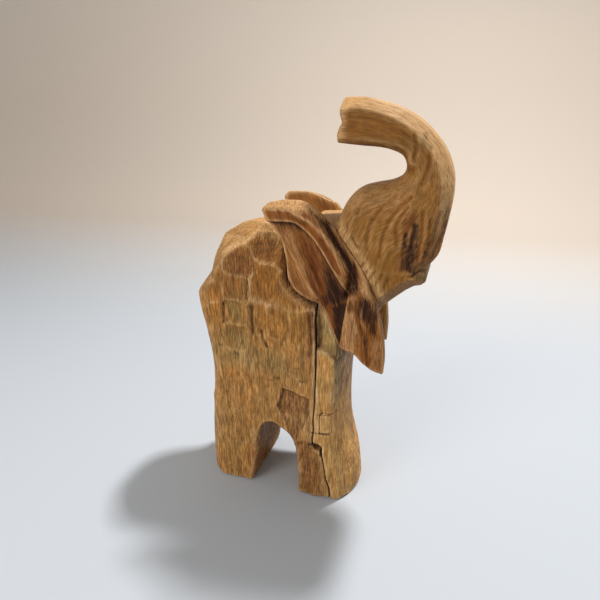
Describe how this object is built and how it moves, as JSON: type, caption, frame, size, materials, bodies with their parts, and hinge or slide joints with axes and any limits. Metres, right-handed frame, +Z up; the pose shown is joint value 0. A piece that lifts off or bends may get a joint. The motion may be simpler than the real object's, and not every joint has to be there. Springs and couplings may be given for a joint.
{
  "type": "carved wooden elephant",
  "caption": "Standing carved wooden elephant with its trunk raised and curled back, faceted body and drooping ears.",
  "frame": {"origin": "on the plane of the soles, under the middle of the overall length and width", "axes": "+X from the rump towards the head, +Y to the elephant's left, +Z up"},
  "size_m": [0.228, 0.084, 0.368],
  "materials": {
    "body_wood": "gouge-faceted hardwood, brown with pale worn ridges, thin satin wax",
    "chest_wood": "gouge-faceted hardwood, paler olive tan, thin satin wax",
    "head_wood": "smoothed hardwood, tan with slanting grain, satin wax",
    "ear_wood": "hardwood, reddish brown with near-black heartwood streaks, satin wax",
    "patch_wood": "let-in hardwood patch, knife-cut edges, satin wax",
    "dowel_wood": "plain turned dowel, unfinished"
  },
  "bodies": {
    "root": {"hind_block": "body_wood", "chest_block": "chest_wood", "head_block": "head_wood", "right_ear": "ear_wood", "left_ear": "ear_wood", "leg_patch": "patch_wood", "block_dowels": "dowel_wood", "neck_dowels": "dowel_wood", "ear_dowels": "dowel_wood"}
  },
  "joints": []
}
